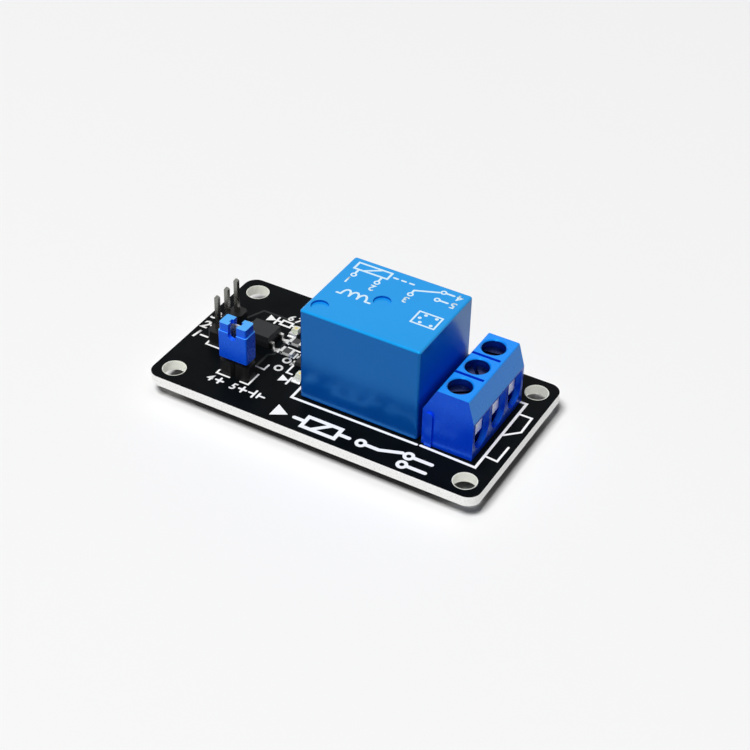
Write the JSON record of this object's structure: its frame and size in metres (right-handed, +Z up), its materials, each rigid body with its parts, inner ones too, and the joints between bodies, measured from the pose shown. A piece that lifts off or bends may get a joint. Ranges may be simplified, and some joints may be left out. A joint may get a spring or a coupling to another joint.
{
  "type": "relay module board",
  "caption": "Small circuit board with a sealed blue relay, a screw terminal block, a signal header, a removable supply jumper and surface-mounted driver parts.",
  "frame": {"origin": "under the centre of the board, at the level of the longest solder tails, on which it stands", "axes": "+X along the board from the signal header to the screw terminal, +Y to the back edge, +Z up"},
  "size_m": [0.054, 0.0286, 0.0193],
  "materials": {
    "board": "glass-fibre laminate with a satin black solder mask",
    "relay_blue": "moulded, slightly glossy",
    "terminal_blue": "moulded, glossy",
    "cap_blue": "moulded, satin",
    "header_black": "moulded, satin black",
    "package_black": "moulded epoxy, fine matt",
    "pin_metal": "tin-plated, drawn",
    "terminal_nickel": "nickel-plated strip",
    "screw_steel": "zinc-plated",
    "solder": "bright tin solder",
    "lead_tin": "tin-plated lead frame",
    "chip_ceramic": "glass-coated alumina",
    "led_white": "white carrier",
    "led_lens": "clear resin",
    "base_black": "moulded, matt",
    "bobbin_plastic": "natural nylon",
    "copper_wire": "enamelled copper winding",
    "relay_iron": "nickel-plated soft iron",
    "contact_copper": "copper alloy strip",
    "contact_silver": "silver alloy"
  },
  "bodies": {
    "module": {"circuit_board": "board", "solder_joints": "solder", "header_base": "header_black", "header_pins": "pin_metal", "jumper_header_base": "header_black", "jumper_header_pins": "pin_metal", "relay_cover": "relay_blue", "relay_base": "base_black", "relay_yoke": "relay_iron", "coil_bobbin": "bobbin_plastic", "coil_winding": "copper_wire", "coil_core": "relay_iron", "coil_pins": "pin_metal", "normally_open_terminal": "contact_copper", "normally_closed_terminal": "contact_copper", "common_terminal": "contact_copper", "terminal_housing": "terminal_blue", "optocoupler_body": "package_black", "optocoupler_leads": "lead_tin", "transistor_body": "package_black", "transistor_leads": "lead_tin", "diode_body": "package_black", "diode_leads": "lead_tin", "resistor_chips": "chip_ceramic", "resistor_ends": "solder", "led_bases": "led_white", "led_ends": "solder", "led_lenses": "led_lens", "contact_frame_1": "terminal_nickel", "contact_frame_2": "terminal_nickel", "contact_frame_3": "terminal_nickel"},
    "jumper": {"jumper_cap": "cap_blue", "jumper_clip": "terminal_nickel"},
    "armature_set": {"armature": "relay_iron", "contact_spring": "contact_copper", "moving_contact": "contact_silver"},
    "clamp_1": {"clamp_plate_1": "terminal_nickel"},
    "screw_1": {"clamp_screw_1": "screw_steel"},
    "clamp_2": {"clamp_plate_2": "terminal_nickel"},
    "screw_2": {"clamp_screw_2": "screw_steel"},
    "clamp_3": {"clamp_plate_3": "terminal_nickel"},
    "screw_3": {"clamp_screw_3": "screw_steel"}
  },
  "joints": [
    {"name": "jumper_pull", "type": "slide", "parent": "module", "child": "jumper", "axis": [0, 0, 1], "range_m": [0, 0.006]},
    {"name": "armature_hinge", "type": "hinge", "parent": "module", "child": "armature_set", "pos_m": [-0.0019, 0.0003, 0.0147], "axis": [0, 1, 0], "range_deg": [0, 3], "stiffness_Nm_per_rad": 0.01, "springref_deg": -5.73, "deforming": ["contact_spring"]},
    {"name": "clamp_1_lift", "type": "slide", "parent": "module", "child": "clamp_1", "axis": [0, 0, 1], "range_m": [0, 0.002]},
    {"name": "screw_1_turn", "type": "hinge", "parent": "clamp_1", "child": "screw_1", "pos_m": [0.0192, -0.00453, 0.0118], "axis": [0, 0, 1], "range_deg": [0, 1610]},
    {"name": "clamp_2_lift", "type": "slide", "parent": "module", "child": "clamp_2", "axis": [0, 0, 1], "range_m": [0, 0.002]},
    {"name": "screw_2_turn", "type": "hinge", "parent": "clamp_2", "child": "screw_2", "pos_m": [0.0192, 0.00055, 0.0118], "axis": [0, 0, 1], "range_deg": [0, 1610]},
    {"name": "clamp_3_lift", "type": "slide", "parent": "module", "child": "clamp_3", "axis": [0, 0, 1], "range_m": [0, 0.002]},
    {"name": "screw_3_turn", "type": "hinge", "parent": "clamp_3", "child": "screw_3", "pos_m": [0.0192, 0.00563, 0.0118], "axis": [0, 0, 1], "range_deg": [0, 1610]}
  ],
  "couplings": [
    {"joint": "screw_1_turn", "follows": "clamp_1_lift", "rad_per_m": 13963},
    {"joint": "screw_2_turn", "follows": "clamp_2_lift", "rad_per_m": 13963},
    {"joint": "screw_3_turn", "follows": "clamp_3_lift", "rad_per_m": 13963}
  ]
}
